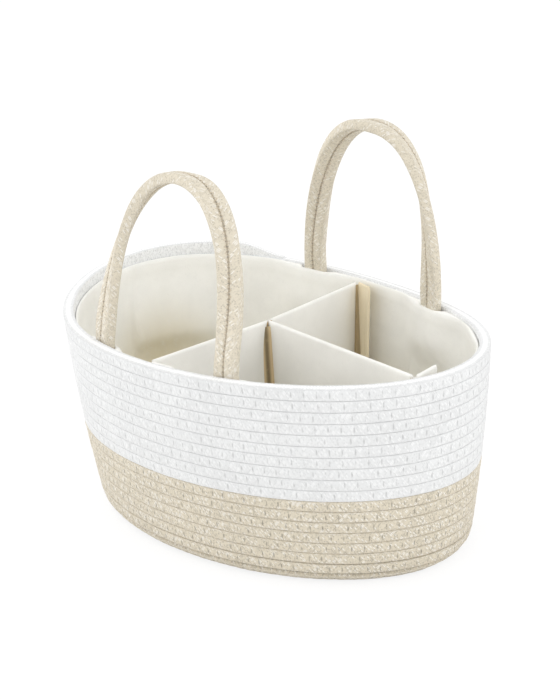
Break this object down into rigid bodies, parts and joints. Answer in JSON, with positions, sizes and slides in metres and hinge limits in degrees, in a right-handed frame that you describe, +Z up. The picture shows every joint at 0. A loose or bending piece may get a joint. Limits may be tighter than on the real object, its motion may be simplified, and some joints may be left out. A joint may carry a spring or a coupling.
{
  "type": "rope storage caddy",
  "caption": "Oval storage basket coiled from stitched rope, with a cloth lining, two swinging rope handles and a folding divider insert with hinged panels and end tabs.",
  "frame": {"origin": "middle of the bounding box on the table, under the flat coiled base", "axes": "+X along the basket's longest side towards the end that the long divider reaches, +Y towards the rear handle, +Z up"},
  "size_m": [0.3795, 0.2571, 0.2912],
  "materials": {
    "natural_rope": "matte cotton rope, stitched row to row",
    "white_rope": "matte white cotton rope, stitched row to row",
    "handle_rope": "matte cotton rope, two ropes sewn side by side",
    "lining_cloth": "matte cream woven cotton",
    "divider_cloth": "matte cream woven cotton over a stiff board",
    "stiffener": "uncoated grey-brown fibreboard"
  },
  "bodies": {
    "basket": {"base_coil": "natural_rope", "foot_coil": "natural_rope", "natural_wall_coil": "natural_rope", "white_wall_coil": "white_rope", "lining_wall": "lining_cloth", "lining_floor": "lining_cloth", "front_left_outer_foot": "handle_rope", "front_left_inner_foot": "handle_rope", "front_right_outer_foot": "handle_rope", "front_right_inner_foot": "handle_rope", "rear_left_outer_foot": "handle_rope", "rear_left_inner_foot": "handle_rope", "rear_right_outer_foot": "handle_rope", "rear_right_inner_foot": "handle_rope"},
    "front_handle": {"front_handle_outer_rope": "handle_rope", "front_handle_inner_rope": "handle_rope"},
    "rear_handle": {"rear_handle_outer_rope": "handle_rope", "rear_handle_inner_rope": "handle_rope"},
    "divider_insert": {"front_divider_board": "stiffener", "front_divider_cover": "divider_cloth"},
    "rear_divider": {"rear_divider_board": "stiffener", "rear_divider_cover": "divider_cloth"},
    "long_divider": {"long_divider_board": "stiffener", "long_divider_cover": "divider_cloth"},
    "front_tab_flap": {"front_tab": "divider_cloth"},
    "rear_tab_flap": {"rear_tab": "divider_cloth"},
    "end_tab_flap": {"end_tab": "divider_cloth"}
  },
  "joints": [
    {"name": "front_handle_swing", "type": "hinge", "parent": "basket", "child": "front_handle", "pos_m": [0.002, -0.10622, 0.16078], "axis": [0.9999, 0.0091, -0.0078], "range_deg": [-34, 98]},
    {"name": "rear_handle_swing", "type": "hinge", "parent": "basket", "child": "rear_handle", "pos_m": [0.00648, 0.10654, 0.16267], "axis": [-0.9961, 0.029, 0.0829], "range_deg": [-48, 86]},
    {"name": "divider_lift", "type": "slide", "parent": "basket", "child": "divider_insert", "axis": [0, 0, 1], "range_m": [0, 0.11]},
    {"name": "rear_divider_swing", "type": "hinge", "parent": "divider_insert", "child": "rear_divider", "pos_m": [-0.002, 0.002, 0.08], "axis": [0, 0, -1], "range_deg": [-1, 10]},
    {"name": "long_divider_swing", "type": "hinge", "parent": "divider_insert", "child": "long_divider", "pos_m": [-0.002, 0.002, 0.08], "axis": [0, 0, 1], "range_deg": [-1, 7]},
    {"name": "front_tab_fold", "type": "hinge", "parent": "divider_insert", "child": "front_tab_flap", "pos_m": [0.0013, -0.10794, 0.08928], "axis": [0, -0.119, 0.9929], "range_deg": [0, 80]},
    {"name": "rear_tab_fold", "type": "hinge", "parent": "rear_divider", "child": "rear_tab_flap", "pos_m": [-0.01248, 0.1069, 0.08928], "axis": [0.0152, -0.1157, -0.9932], "range_deg": [-26, 49]},
    {"name": "end_tab_fold", "type": "hinge", "parent": "long_divider", "child": "end_tab_flap", "pos_m": [0.16474, -0.02166, 0.08928], "axis": [0.1154, -0.0187, 0.9931], "range_deg": [-8, 67]}
  ]
}
